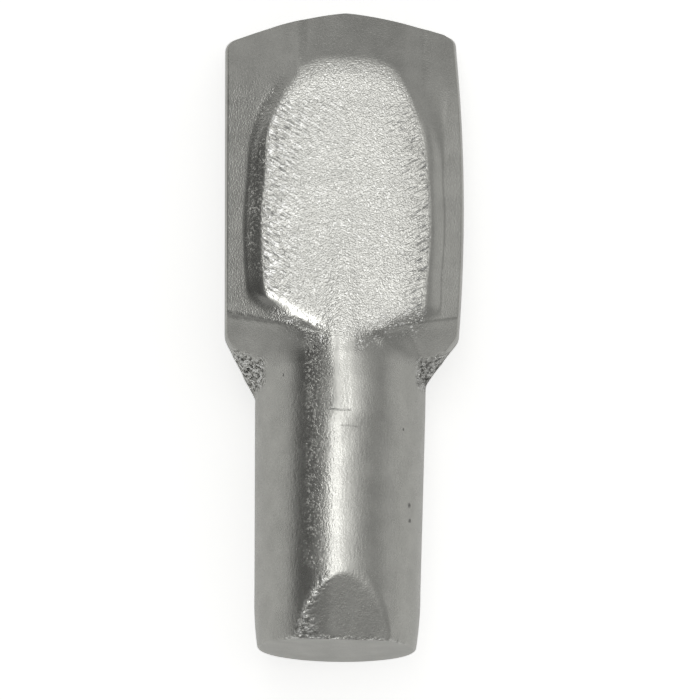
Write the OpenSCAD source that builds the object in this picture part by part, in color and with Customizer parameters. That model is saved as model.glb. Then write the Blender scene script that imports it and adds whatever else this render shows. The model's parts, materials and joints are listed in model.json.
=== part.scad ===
// Shelf support pin, spoon pattern, cold forged in one piece from round steel wire.
//
// The round peg goes into a hole drilled in the cabinet side and the shelf rests on
// the flat side of the paddle. The other side of the paddle is pressed to a flat rim,
// with a low raised tongue that runs back into the neck of the peg.
//
// The form is worked out in the pin's own directions: "along" runs from the sheared end
// of the peg to the tip of the paddle, "across" runs to the right with the tongue up,
// and heights are taken from the peg's axis towards the tongue. The finished pin is then
// laid down as it comes to rest, on the tip of its flat side and the heel of its neck.
// All sizes are in millimetres, all angles in degrees.

/* [Peg] */
// Diameter of the round peg
peg_d = 4.9; // [4.6:0.05:5.4]
// Length of the round peg, from its sheared end to the die line at the neck
peg_length = 6.9; // [6:0.1:10]
// Length over which the end of the peg is drawn in
lead_length = 1.5; // [0.8:0.1:2.5]
// How much the radius is drawn in at the end
lead_depth = 0.1; // [0.04:0.02:0.2]
// Rounding of the sheared end's edge
end_round = 0.1; // [0.05:0.05:0.2]

/* [Bevel on the end of the peg] */
// Depth of the bevel at the end face
bevel_depth = 0.58; // [0.3:0.02:1]
// Length of the bevel along the peg
bevel_length = 1.95; // [1:0.05:3]
// How far the bevel leans to the right
bevel_lean = 6; // [-10:1:10]

/* [Neck] */
// How far the forged neck stands out from the peg
neck_step = 0.035; // [0.02:0.005:0.1]
// How much the crest of the neck is flattened by the die
crest_flat = 0.03; // [0:0.005:0.15]
// Slope at which the crest runs down into the tongue
neck_slope = 3; // [2:0.5:8]
// Length over which the crest goes over from round to flattened
crest_run = 1.8; // [0.5:0.1:3]
// Plain neck before the left shoulder flares out
neck_left = 0.45; // [0.2:0.05:1.5]
// Plain neck before the right shoulder flares out
neck_right = 0.9; // [0.2:0.05:1.5]
// Angle of the left shoulder from the axis
flare_left = 30; // [20:1:50]
// Angle of the right shoulder from the axis
flare_right = 38; // [20:1:50]

/* [Paddle] */
// Overall length of the pin
length = 18.95; // [17:0.05:24]
// Width of the paddle across its shoulders
paddle_width = 6.82; // [6.4:0.02:9]
// How far the shoulders lie to the right of the axis
paddle_shift = 0.01; // [-0.1:0.01:0.1]
// How much the left edge spreads from shoulder to tip
left_spread = 0.14; // [-0.4:0.01:0.4]
// How much the right edge spreads from shoulder to tip
right_spread = -0.29; // [-0.4:0.01:0.4]
// How far the right edge bows out between shoulder and tip
right_bow = 0.23; // [0:0.01:0.4]
// Height of the pressed rim above the axis, beside the tongue at the shoulders
rim_height = 2.22; // [1.8:0.02:2.3]
// Slope of the rim down towards the tip
rim_slope = 2; // [0:0.1:3]
// Slope of the rim down towards the left side
draft_left = 10; // [0:1:16]
// Slope of the rim down towards the right side
draft_right = 15; // [0:1:16]
// How far the flat bearing side lies below the axis
flat_depth = 0.3; // [0:0.05:0.8]
// How far the free sides bulge between rim and flat
side_bulge = 0.2; // [0.06:0.01:0.3]

/* [Shoulders] */
// Torn flank of the left shoulder: its top edge, from the start of the flare
tear_left = 0.95; // [0.6:0.05:1.4]
// Torn flank of the right shoulder: its top edge, from the start of the flare
tear_right = 0.55; // [0.3:0.05:1.2]
// Step in the pressed rim at the crease between shoulder and paddle
crease_step = 0.04; // [0:0.005:0.08]
// Slope of the rim from that crease down to the flank
shoulder_slope = 38; // [20:1:44]
// Start of the flat bearing side, behind the start of the left flare
flat_start = 1.05; // [0.8:0.05:2]
// Length over which the back of the neck slopes up to the flat side
back_slope = 1.1; // [0.5:0.05:2]
// Radius at the foot of that slope
back_round = 0.5; // [0.1:0.05:0.8]

/* [Tongue] */
// Half width of the tongue's top at its widest
tongue_half = 2.4; // [1.8:0.01:2.5]
// How far the tongue lies to the right of the axis
tongue_shift = 0.05; // [-0.2:0.01:0.2]
// How much narrower each side of the tongue is at its root
tongue_pinch = 0.18; // [0:0.01:0.4]
// Height of the tongue above the axis, at its root
tongue_height = 2.4; // [2.3:0.01:2.42]
// Slope of the tongue's top down towards the tip
tongue_slope = 2; // [0:0.1:3]
// Crown of the tongue across its width
tongue_crown = 0.04; // [0:0.01:0.1]
// Width of the slope beside the tongue
tongue_wall = 0.6; // [0.3:0.05:0.8]
// Line, right of the axis, to which that slope reaches out on the right
wall_line = 2.88; // [2.4:0.02:3]
// Distance from the end of the tongue's flat top to the tip
tongue_margin = 1.75; // [1.4:0.05:2.6]
// Slope of the front of the tongue down to the tip
front_slope = 10.5; // [6:0.5:16]
// How far the end of the tongue's top bows back, in millimetres at 1 mm from its middle
front_bow = 0.13; // [0:0.01:0.2]
// Widest place of the tongue, from the tip
tongue_widest = 6.4; // [5:0.1:8]
// Length of the oval that draws the tongue in from there
tongue_arch = 5.5; // [4:0.1:7]
// Share of that oval's length at which the tongue ends bluntly
tongue_blunt = 0.82; // [0.6:0.02:0.9]
// Where the tongue's root opens from the neck, measured from the die line
funnel_start = 1.74; // [1.4:0.01:2.4]
// How much further ahead it opens on the right
funnel_skew = 0.18; // [-0.3:0.02:0.3]
// Angle of its left edge from square across the pin
funnel_left = 30; // [10:1:40]
// Angle of its right edge from square across the pin
funnel_right = 20; // [10:1:40]

/* [Tip] */
// How far the tip falls back at its left corner
tip_fall_left = 0.8; // [0.2:0.05:1.4]
// How far the tip falls back at its right corner
tip_fall_right = 0.6; // [0.2:0.05:1.4]
// Size of the left corner's rounding
corner_left = 0.36; // [0.1:0.01:0.6]
// Size of the right corner's rounding
corner_right = 0.26; // [0.1:0.01:0.6]
// Lean of the tip's end face: its flat side reaches further
tip_lean = 11; // [0:1:20]
// Extra slope of the rim from the end of the tongue's top to the tip
apron_slope = 8.5; // [0:0.5:12]

/* [Hidden] */

LEFT = -1;
RIGHT = 1;
STEEL = [0.72, 0.72, 0.70];

across_points = 47;        // points over each side of a section, an odd number
plateau_part = 0.5;        // share of those points that lies over the tongue's top
wall_part = 0.22;          // share of those points that lies over the slope beside it
peg_r = peg_d / 2;
neck_r = peg_r + neck_step;
left_root = paddle_width / 2 - paddle_shift;
right_root = paddle_width / 2 + paddle_shift;
left_tip = left_root + left_spread;
right_tip = right_root + right_spread;
peg_seat = 0.2;            // how far the round peg runs on inside the forging
core_depth = 1;            // depth of the forging below the axis before its flat is cut
tip_power = 1.3;           // curve of the tip's outline
die_round = 0.06;          // rounding where one pressed surface meets the next
front_round = 0.06;        // rounding where the tongue's top turns down to its front
crest_round = 0.2;         // rounding beside the flattened crest of the neck
neck_turn = 0.2;           // how far behind the funnel the crest begins to slope down
crease_at = 0.09;          // crease behind the rim, ahead of the funnel on the axis
crease_rake = 0.2;         // how much further ahead it lies for each millimetre to the side
crease_fade = 0.15;        // length of the step at that crease
tear_rake = 0.4;           // how much further ahead the torn flank ends for each millimetre out
seat_ahead = 0.2;          // start of the full rim inside the neck's radius, ahead of the funnel
seat_length = 1;           // length over which the rim rises there
groove_side = 0.3;         // width of the steep side that leads down to the neck
tiny = 0.001;
mouth_run = 1.4;           // stretch behind the die line in which the sections open out
root_run = 2;              // stretch of close sections that follows it
follow_at = 1.2;           // start of the stretch in which they begin to follow the tongue
settle_run = 3.5;          // stretch past the funnel in which they straighten again
end_run = 1.2;             // stretch of close sections before the end of the tongue
tip_run = 2.4;             // stretch in which they bend back round the tip
lean_run = 0.7;            // stretch in which they lean back like the tip's end face
far = 30;                  // past every side of the pin

left_flare_at = peg_length + neck_left;
right_flare_at = peg_length + neck_right;
shoulder_at = left_flare_at + (left_root - neck_r) / tan(flare_left);
flat_at = left_flare_at + flat_start;
heel_at = flat_at - back_slope;
tongue_at = peg_length + funnel_start;

// ---- small helpers ---------------------------------------------------------------
function clamp01(t) = max(0, min(1, t));
function mix(a, b, t) = a + (b - a) * t;
function ease(t) = let (c = clamp01(t)) c * c * (3 - 2 * c);
function soft_max(a, b, k) = let (h = clamp01(0.5 + (a - b) / (2 * k))) mix(b, a, h) + k * h * (1 - h);
function soft_min(a, b, k) = -soft_max(-a, -b, k);
function by_side(side, left, right) = side == LEFT ? left : right;

// ---- outline, seen from the tongue side ---------------------------------------------
// The flat side reaches the full length; the top edge of the tip leans back from it, by
// the thickness of the tip, which itself depends on how far the tongue's top slopes.
level_thickness = tongue_height + flat_depth - tongue_margin * tan(front_slope);
top_length = (length - (level_thickness + (tongue_at + tongue_margin) * tan(tongue_slope)) * tan(tip_lean))
             / (1 - tan(tongue_slope) * tan(tip_lean));
tongue_end = top_length - tongue_margin;
oval_at = top_length - tongue_widest;

function paddle_edge(side, along) =
    let (t = (along - shoulder_at) / (top_length - shoulder_at))
    side == LEFT ? mix(left_root, left_tip, t)
                 : mix(right_root, right_tip, t) + 4 * right_bow * t * (1 - t);

function flare_at(side) = by_side(side, left_flare_at, right_flare_at);
function flare_angle(side) = by_side(side, flare_left, flare_right);
function funnel_angle(side) = by_side(side, funnel_left, funnel_right);

function half_width(side, along) =
    soft_min(neck_r + max(0, along - flare_at(side)) * tan(flare_angle(side)),
             paddle_edge(side, along), die_round);

function corner_cut(side, station) =
    let (size = by_side(side, corner_left, corner_right),
         t = clamp01((station - top_length + size) / size))
    size * (1 - sqrt(1 - t * t));

// ---- heights of the side that carries the tongue ------------------------------------
// Round neck, flattened on its crest, which sinks under the tongue beyond the funnel.
function neck_height(across, along) =
    let (a = abs(across),
         round_top = a < neck_r ? sqrt(neck_r * neck_r - a * a) : 4 * (neck_r - a),
         die_in = ease((along - peg_length) / crest_run),
         sink = max(0, along - tongue_at + neck_turn) * tan(neck_slope))
    soft_min(round_top, neck_r - crest_flat * die_in, crest_round * die_in + tiny) - sink;

// Rim pressed round the tongue. It slopes a little to the tip and to the sides, more in
// front of the tongue, and behind a shallow crease it slopes down to the shoulders.
function rim_level(side, across, along) =
    let (apron = max(0, along - tongue_end) * tan(apron_slope),
         draft = (max(abs(across), tongue_half / 2) - tongue_half)
                 * tan(by_side(side, draft_left, draft_right)),
         behind = tongue_at + crease_at + crease_rake * abs(across) - along)
    rim_height - max(0, along - shoulder_at) * tan(rim_slope) - apron - draft
    - crease_step * ease(behind / crease_fade)
    - tan(shoulder_slope) * max(0, behind);

// Level at which the free sides stand out furthest.
function belly(along) =
    ease((along - peg_length) / (shoulder_at - peg_length)) * (rim_height - flat_depth) / 2;

// The torn flank climbs from the outline of the shoulder to the edge of the rim. Inside
// the neck's radius the rim starts further ahead, and a steep side leads down to the neck.
function tear_top(side, across) =
    flare_at(side) + by_side(side, tear_left, tear_right)
    + tear_rake * max(0, abs(across) - neck_r);

function flank(side, across, along) =
    let (out = abs(across) - neck_r,
         foot = flare_at(side) + max(0, out) / tan(flare_angle(side)),
         torn = ease((along - foot) / max(0.05, tear_top(side, across) - foot)),
         seat = ease((along - tongue_at - seat_ahead) / seat_length + 1))
    mix(seat, torn, ease(out / groove_side + 1.1));

// Share of the full height that the bulging side reaches this close to its edge.
function bulge(across, edge, depth) =
    let (t = clamp01((abs(across) - edge + depth) / depth)) sqrt(1 - t * t);

// Place along the oval that draws the tongue in, from its widest place to its blunt end.
function oval_place(along) = max(0, min(tongue_blunt, (along - oval_at) / tongue_arch));

function oval_half(along) =
    tongue_half - tongue_pinch * ease((oval_at - along) / (oval_at - tongue_at));

// Distance outside the edge of the tongue's top, below zero inside it.
function oval_distance(across, along) =
    let (half = oval_half(along),
         a = abs(across - tongue_shift) / half,
         s = oval_place(along),
         f = norm([a, s]))
    (f - 1) * f / max(0.1, norm([a / half, s / tongue_arch]));

// Distance behind the slanting edge of the tongue's root.
function funnel_distance(side, across, along) =
    let (open_at = tongue_at + funnel_skew * ease(across + 0.5))
    (open_at + abs(across) * tan(funnel_angle(side)) - along) * cos(funnel_left);

// The left slope ends softly. The right one reaches a straight line and ends at an edge.
function wall_share(side, across, along) =
    let (beside = oval_distance(across, along),
         top_half = oval_half(along) * sqrt(1 - pow(oval_place(along), 2)),
         t = clamp01(beside / max(tongue_wall, wall_line - tongue_shift - top_half)))
    by_side(side, 1 - ease(beside / tongue_wall), 1 - t * t * (2 - t))
    * (1 - ease(funnel_distance(side, across, along) / tongue_wall));

function tongue_level(across, along) =
    let (crown = tongue_crown * (0.5 - pow((across - tongue_shift) / tongue_half, 2)),
         plateau = tongue_height - max(0, along - tongue_at) * tan(tongue_slope) + crown,
         end_height = tongue_height - (tongue_end - tongue_at) * tan(tongue_slope),
         past = along - tongue_end + front_bow * pow(abs(across - tongue_shift), 3))
    soft_min(plateau, end_height - past * tan(front_slope), front_round);

function top_height(side, across, along, edge) =
    let (climb = flank(side, across, along) * bulge(across, edge, side_bulge),
         rim = mix(belly(along), rim_level(side, across, along), climb),
         neck = neck_height(across, along),
         level = tongue_level(across, along),
         raised = along < tongue_end ? soft_max(neck, level, die_round) : level)
    mix(soft_max(neck, rim, 2 * die_round), raised, wall_share(side, across, along));

// ---- heights of the other side, before its flat is cut -------------------------------
function bottom_height(across, along, edge) =
    let (round_back = abs(across) < neck_r ? -sqrt(neck_r * neck_r - across * across) : 0)
    min(round_back, mix(belly(along), -core_depth, bulge(across, edge, side_bulge + core_depth)));

// ---- the forging, lofted through sections across the pin -------------------------------
function steps(from, to, count) = [for (i = [0 : count - 1]) mix(from, to, i / count)];

stations = concat(
    steps(peg_length, peg_length + mouth_run, 16),
    steps(peg_length + mouth_run, peg_length + mouth_run + root_run, 14),
    steps(peg_length + mouth_run + root_run, tongue_end - end_run, 8),
    steps(tongue_end - end_run, top_length - corner_left, 15),
    [for (a = [0 : 18 : 90]) top_length - corner_left * (1 - sin(a))]);

// The sections bend forward at their sides where shoulders and funnel start, and back
// round the tip.
function bend(side, share, station) =
    let (open = ease((station - peg_length) / mouth_run)
                * (1 - ease((station - tongue_at - 1) / settle_run)),
         close = ease((station - top_length) / tip_run + 1))
    left_root * tan(funnel_angle(side)) * abs(share) * open
    - by_side(side, tip_fall_left, tip_fall_right) * pow(abs(share), tip_power) * close;

function lean(station) = tan(tip_lean) * ease((station - top_length) / lean_run + 1);

// Points are spread evenly round the neck, and along the paddle they follow the tongue.
function spread(side, turn, edge, station) =
    let (t = abs(turn) / 90,
         inner = tongue_half * sqrt(1 - pow(oval_place(station), 2)),
         outer = by_side(side, inner + tongue_wall, max(inner + tongue_wall, wall_line)),
         wall_end = plateau_part + wall_part,
         to_edge = mix(outer, edge, sin(90 * clamp01((t - wall_end) / (1 - wall_end)))),
         beside = t < plateau_part ? inner * t / plateau_part
                : t < wall_end ? mix(inner, outer, (t - plateau_part) / wall_part)
                : to_edge)
    mix(edge * sin(abs(turn)), beside, ease((station - peg_length - follow_at) / mouth_run));

// One side of a section, from left to right.
function section_row(station, top) = [
    for (i = [0 : across_points - 1])
        let (turn = -90 + (i + 0.5) * 180 / across_points,
             side = turn < 0 ? LEFT : RIGHT,
             base = half_width(side, station),
             along = station + bend(side, spread(side, turn, base, station) / base, station),
             edge = half_width(side, along) - corner_cut(side, station),
             across = side * spread(side, turn, edge, station),
             upper = top_height(side, across, along, edge),
             lower = bottom_height(across, along, edge))
        [across,
         top ? along : along + (upper - lower) * lean(station),
         top ? upper : lower]];

function reversed(list) = [for (i = [len(list) - 1 : -1 : 0]) list[i]];

sections = [for (s = stations) concat(section_row(s, true), reversed(section_row(s, false)))];

module forging() {
    ring = 2 * across_points;
    last = (len(sections) - 1) * ring;
    walls = [
        for (s = [0 : len(sections) - 2], i = [0 : ring - 1])
            let (a = s * ring + i,
                 b = s * ring + (i + 1) % ring,
                 on_left = i < across_points / 2 || i > 1.5 * across_points)
            each (on_left ? [[a, b + ring, b], [a, a + ring, b + ring]]
                          : [[a, a + ring, b], [b, a + ring, b + ring]])];
    tip_face = [
        for (i = [0 : across_points - 2])
            let (a = last + i, b = last + ring - 1 - i)
            each [[a, b - 1, a + 1], [a, b, b - 1]]];
    neck_face = [[for (i = [0 : ring - 1]) i]];
    polyhedron(points = [for (s = sections, p = s) p],
               faces = concat(neck_face, walls, tip_face), convexity = 6);
}

// ---- the round peg, drawn in at its end and bevelled on one side -----------------------
end_r = peg_r - lead_depth;

peg_profile = concat(
    [[0, 0]],
    [for (a = [0 : 30 : 90]) [end_r - end_round * (1 - sin(a)), end_round * (1 - cos(a))]],
    [for (t = [0.25 : 0.25 : 1])
        [peg_r - lead_depth * pow(1 - t, 2), mix(end_round, lead_length, t)]],
    [[peg_r, peg_length + peg_seat], [0, peg_length + peg_seat]]);

module peg() {
    rotate([-90, 0, 0]) rotate_extrude($fn = 128) polygon(peg_profile);
}

module bevel_cut() {
    translate([0, 0, peg_r - bevel_depth])
        rotate([atan(bevel_depth / bevel_length), bevel_lean, 0])
            translate([-far / 2, -far / 2, 0]) cube([far, far, far]);
}

// ---- the flat bearing side, with the slope that runs up to it from the heel -------------
module flat_cut() {
    rise = neck_r - flat_depth;
    turn = atan(rise / back_slope);
    reach = back_round * tan(turn / 2);
    translate([-far / 2, 0, 0]) rotate([90, 0, 90]) linear_extrude(far)
        polygon(concat(
            [for (i = [0 : 4])
                let (a = turn * i / 4)
                [flat_at + reach - back_round * sin(a),
                 -flat_depth - back_round * (1 - cos(a))]],
            [[heel_at - back_slope, -neck_r - rise], [far, -neck_r - rise], [far, -flat_depth]]));
}

// ---- lying as it comes to rest, on the heel of its neck and the tip of its flat side ----
rest_tilt = atan((neck_r - flat_depth) / (length - heel_at));

function laid(point) = [
    point[0],
    point[1] * cos(rest_tilt) + point[2] * sin(rest_tilt),
    point[2] * cos(rest_tilt) - point[1] * sin(rest_tilt)];

flat_tip = laid([0, length, -flat_depth]);
paddle_points = [for (s = sections, p = s) if (p[2] > -flat_depth) laid(p)];
left_end = min([for (p = paddle_points) p[0]]);
right_end = max([for (p = paddle_points) p[0]]);
tip_end = max(flat_tip[1], max([for (p = paddle_points) p[1]]));
peg_end = min([for (p = peg_profile) laid([0, p[1], -p[0]])[1]]);

module lay_down() {
    translate([-(left_end + right_end) / 2, -(tip_end + peg_end) / 2, -flat_tip[2]])
        rotate([-rest_tilt, 0, 0]) children();
}

module shelf_pin() {
    color(STEEL) lay_down() difference() {
        union() {
            peg();
            forging();
        }
        bevel_cut();
        flat_cut();
    }
}

shelf_pin();
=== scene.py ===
# %% [markdown]
# # A shelf support pin, forged from one piece of wire
#
# The pin plugs into a hole in a cabinet side. Its round peg is the wire it was made from;
# the rest was squeezed flat between two dies. The dies pressed a smooth flange, and where
# they left room the metal rose as a tongue with a rough, free skin. This lesson builds the
# whole pin as one fine loft, roughens its skins with Geometry Nodes and lights it softly.

# %% Load the frame
import json
import math

import bmesh
import bpy
import numpy as np
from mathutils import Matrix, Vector


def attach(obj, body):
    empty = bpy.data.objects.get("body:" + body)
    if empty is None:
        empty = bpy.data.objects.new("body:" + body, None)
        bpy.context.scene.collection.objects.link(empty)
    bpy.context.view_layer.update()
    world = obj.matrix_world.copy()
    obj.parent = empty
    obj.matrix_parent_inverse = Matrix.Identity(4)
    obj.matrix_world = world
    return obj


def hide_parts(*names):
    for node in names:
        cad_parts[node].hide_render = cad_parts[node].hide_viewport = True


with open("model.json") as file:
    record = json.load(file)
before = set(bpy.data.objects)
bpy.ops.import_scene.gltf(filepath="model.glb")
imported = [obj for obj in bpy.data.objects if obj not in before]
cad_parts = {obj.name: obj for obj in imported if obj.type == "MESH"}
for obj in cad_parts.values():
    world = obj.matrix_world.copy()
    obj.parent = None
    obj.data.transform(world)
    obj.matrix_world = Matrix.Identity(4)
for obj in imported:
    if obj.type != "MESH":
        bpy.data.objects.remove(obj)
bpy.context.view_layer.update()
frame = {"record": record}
MM = 0.001
mounts = {m["name"]: m for m in frame["record"]["mounts"]}

# %% [markdown]
# The pin lies askew, on its heel and its tip. It is easier to model it straight: "along"
# the peg's axis, "across" to the right and a height "above" the axis. The peg's mount says
# where that axis lies in the frame, so three numbers turn into a place with one function.

# %% The pin's own directions
PEG_R, BARREL_LENGTH = mounts["peg"]["dims"]["r_mm"], mounts["peg"]["dims"]["length_mm"]
LEAD_LENGTH = 1.5
PEG_LENGTH = LEAD_LENGTH + BARREL_LENGTH
ALONG = -np.array(mounts["peg"]["axis"])
ACROSS = np.array([1.0, 0.0, 0.0])
ABOVE = np.cross(ACROSS, ALONG)
END_CENTRE = np.array(mounts["peg"]["pos_m"]) - ALONG * (LEAD_LENGTH + BARREL_LENGTH / 2) * MM
TILT = math.degrees(math.asin(mounts["peg"]["axis"][2]))


def in_frame(across, along, above):
    """Places in the row frame, in metres, of points given in the pin's own millimetres."""
    steps = across[..., None] * ACROSS + along[..., None] * ALONG + above[..., None] * ABOVE
    return END_CENTRE + MM * steps


print(f"the pin lies {TILT:.1f} degrees askew")

# %% [markdown]
# Forged metal has no sharp corners, so two shapes are never joined by a plain maximum. These
# small functions fade one number into another, and round the line where two heights meet.

# %% Small helpers for smooth shapes
def tan(degrees):
    return math.tan(math.radians(degrees))


def mix(a, b, share):
    return a + (b - a) * share


def ease(t):
    """From 0 to 1, with a soft start and a soft end."""
    t = np.clip(t, 0, 1)
    return t * t * (3 - 2 * t)


def soft_max(a, b, k):
    """The larger of two heights, rounded where they cross."""
    h = np.clip(0.5 + (a - b) / (2 * k), 0, 1)
    return mix(b, a, h) + k * h * (1 - h)


def soft_min(a, b, k):
    return -soft_max(-a, -b, k)


def by_side(across, left, right):
    return np.where(across < 0, left, right)


print("two heights of 1 mm, rounded over 0.2 mm, meet at", soft_max(1.0, 1.0, 0.2))

# %% [markdown]
# Sizes are in millimetres and degrees, and each is a feature that a gauge could find on the
# real pin. The first ones fix its stations: how far from the sheared end the shoulders
# flare, where the bearing flat and the tongue begin, and where the leaning tip ends.

# %% Stations along the pin
LENGTH = 18.95
NECK_SWELL, NECK_LEFT, NECK_RIGHT = 0.035, 0.45, 0.9
FLARE_LEFT, FLARE_RIGHT, LEFT_ROOT = 30.0, 38.0, 3.4
FLAT_START, FLAT_DEPTH = 1.05, 0.3
FUNNEL_START, TONGUE_HEIGHT, TONGUE_HALF, TONGUE_SLOPE = 1.86, 2.4, 2.4, 2.0
TONGUE_MARGIN, FRONT_SLOPE, TIP_LEAN = 1.58, 11.6, 11.0
NECK_R = PEG_R + NECK_SWELL
LEFT_FLARE_AT = PEG_LENGTH + NECK_LEFT
RIGHT_FLARE_AT = PEG_LENGTH + NECK_RIGHT
SHOULDER_AT = LEFT_FLARE_AT + (LEFT_ROOT - NECK_R) / tan(FLARE_LEFT)
FLAT_AT = LEFT_FLARE_AT + FLAT_START
TONGUE_AT = PEG_LENGTH + FUNNEL_START  # where the tongue begins on the middle line
LEVEL_THICKNESS = TONGUE_HEIGHT + FLAT_DEPTH - TONGUE_MARGIN * tan(FRONT_SLOPE)
TOP_LENGTH = ((LENGTH - (LEVEL_THICKNESS + (TONGUE_AT + TONGUE_MARGIN) * tan(TONGUE_SLOPE)) * tan(TIP_LEAN))
              / (1 - tan(TONGUE_SLOPE) * tan(TIP_LEAN)))
TONGUE_END = TOP_LENGTH - TONGUE_MARGIN
print(f"top of the paddle {TOP_LENGTH:.2f} mm long, its tongue ends at {TONGUE_END:.2f} mm")

# %% [markdown]
# Seen from above, the paddle is wider than the wire. Its two shoulders were sheared at
# different angles and stations, the right edge bows out a little, and both corners of the
# tip are rounded. One function gives the half width of either side at any station.

# %% Outline of the paddle
LEFT_TIP, RIGHT_ROOT, RIGHT_TIP, RIGHT_BOW = 3.54, 3.42, 3.13, 0.23
CORNER_LEFT, CORNER_RIGHT, DIE_ROUND = 0.36, 0.26, 0.06


def flare_at(across):
    return by_side(across, LEFT_FLARE_AT, RIGHT_FLARE_AT)


def flare_slope(across):
    return by_side(across, tan(FLARE_LEFT), tan(FLARE_RIGHT))


def paddle_edge(across, along):
    t = (along - SHOULDER_AT) / (TOP_LENGTH - SHOULDER_AT)
    return by_side(across, mix(LEFT_ROOT, LEFT_TIP, t),
                   mix(RIGHT_ROOT, RIGHT_TIP, t) + 4 * RIGHT_BOW * t * (1 - t))


def half_width(across, along):
    flare = (along - flare_at(across)) * flare_slope(across)
    return soft_min(NECK_R + np.maximum(0, flare), paddle_edge(across, along), DIE_ROUND)


def corner_cut(across, station):
    size = by_side(across, CORNER_LEFT, CORNER_RIGHT)
    t = np.clip((station - TOP_LENGTH + size) / size, 0, 1)
    return size * (1 - np.sqrt(1 - t * t))


print(f"the paddle is {half_width(-1, 13.0) + half_width(1, 13.0):.2f} mm wide at 13 mm")

# %% [markdown]
# The die touched the crest of the neck too. It left a thin bead left of the middle, and then
# a flat that leans a little to the right. Both fade before the tongue. Beside the wire its
# height is made to fall steeply, so that it never wins over the shoulders.

# %% Crest of the neck
DIE_AT, DIE_RUN, GAIN_FADE = 6.15, 0.7, 1.3
BEAD_FROM, BEAD_TO, BEAD_CURVE, BEAD_WANDER = -0.55, -0.12, 0.09, 0.15
CREST_TO, CREST_LEAN, CREST_ROUND, CREST_SHIFT, SHIFT_FROM, SHIFT_TO = 0.28, 2.5, 0.005, 0.17, 1.1, 2.3
NECK_DIP, NECK_DIP_LEAD, BESIDE_WIRE = 3.0, 0.4, 4.0


def crest_gain(across, along):
    """How far the die raised the crest: a bead, then a leaning flat, then a shifted round."""
    circle = np.sqrt(np.maximum(0, NECK_R ** 2 - across ** 2))
    uneven = 1 + BEAD_WANDER * (np.sin(5.0 * along) + 0.7 * np.sin(13.0 * along + 1))
    bead = circle + BEAD_CURVE * uneven * np.maximum(0, across - BEAD_FROM) ** 2
    bead_top = math.sqrt(NECK_R ** 2 - BEAD_TO ** 2) + BEAD_CURVE * (BEAD_TO - BEAD_FROM) ** 2
    flat = bead_top - (across - BEAD_TO) * tan(CREST_LEAN)
    shift = CREST_SHIFT * (1 - ease((across - SHIFT_FROM) / (SHIFT_TO - SHIFT_FROM)))
    shifted = np.sqrt(np.maximum(0, NECK_R ** 2 - (across - shift) ** 2))
    return np.where(across < CREST_TO, soft_min(bead, flat, CREST_ROUND), shifted) - circle


def pressed_crest(round_top, across, along):
    die_in = ease((along - DIE_AT) / DIE_RUN) * (1 - ease((along - TONGUE_AT) / GAIN_FADE + 1))
    return round_top + crest_gain(across, along) * die_in


def wire_height(across):
    a = np.abs(across)
    return np.where(a < NECK_R, np.sqrt(np.maximum(0, NECK_R ** 2 - a * a)), BESIDE_WIRE * (NECK_R - a))


def neck_height(across, along):
    sink = np.maximum(0, along - TONGUE_AT + NECK_DIP_LEAD) * tan(NECK_DIP)
    return pressed_crest(wire_height(across), across, along) - sink


print(f"the die raised the middle of the neck by {float(crest_gain(np.array(0.0), 7.5)):.3f} mm")

# %% [markdown]
# The rim round the tongue was pressed by the die, so it is smooth and has draft, a slope
# that lets the die come away. It falls towards the tip as an apron, and behind the tongue a
# slight crease parts it from the shoulders, which slope down to meet the round wire.

# %% The pressed rim
RIM_HEIGHT, RIM_SLOPE, DRAFT_LEFT, DRAFT_RIGHT = 2.22, 2.0, 10.0, 15.0
LEFT_DRAFT_FROM, RIGHT_DRAFT_FROM, LEFT_EARLY, RIGHT_EARLY = 1.0, 2.4, 0.45, 0.9
APRON_SLOPE, APRON_ROUND, FRONT_BOW = 8.5, 0.7, 0.13
CREASE_AT, CREASE_SWEEP, CREASE_STEP, CREASE_FADE, SHOULDER_SLOPE = 0.09, 0.2, 0.012, 0.25, 38.0


def rim_level(across, along):
    early = np.minimum(FRONT_BOW * np.abs(across) ** 3, by_side(across, LEFT_EARLY, RIGHT_EARLY))
    apron = soft_max(0, along - TONGUE_END + early, APRON_ROUND) * tan(APRON_SLOPE)
    draft_from = by_side(across, LEFT_DRAFT_FROM, RIGHT_DRAFT_FROM)
    draft = ((np.maximum(np.abs(across), draft_from) - TONGUE_HALF)
             * by_side(across, tan(DRAFT_LEFT), tan(DRAFT_RIGHT)))
    behind = TONGUE_AT + CREASE_AT + CREASE_SWEEP * np.abs(across) - along
    return (RIM_HEIGHT - np.maximum(0, along - SHOULDER_AT) * tan(RIM_SLOPE) - apron - draft
            - CREASE_STEP * ease(behind / CREASE_FADE) - tan(SHOULDER_SLOPE) * np.maximum(0, behind))


def belly(along):
    """Height of the widest line of the side, half way up the paddle."""
    return ease((along - PEG_LENGTH) / (SHOULDER_AT - PEG_LENGTH)) * (RIM_HEIGHT - FLAT_DEPTH) / 2


rim_fall = float(rim_level(-3.0, 10.5) - rim_level(-3.0, 18.0))
print(f"the left rim falls {rim_fall:.2f} mm on its way to the tip")

# %% [markdown]
# Where the shoulders were sheared, the metal tore. A torn flank climbs from the wire to the
# rim, later and steeper on the right. A bulge rounds off whatever ends at the outline.

# %% Torn flanks
TEAR_LEFT, TEAR_RIGHT, TEAR_SWEEP, LEAST_TEAR = 0.95, 0.55, 0.4, 0.05
SEAT_AHEAD, SEAT_LENGTH, GROOVE_FILL, GROOVE_SIDE = 0.2, 1.0, 2.2, 0.5


def tear_top(across):
    top = by_side(across, LEFT_FLARE_AT + TEAR_LEFT, RIGHT_FLARE_AT + TEAR_RIGHT)
    return top + TEAR_SWEEP * np.maximum(0, np.abs(across) - NECK_R)


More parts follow.
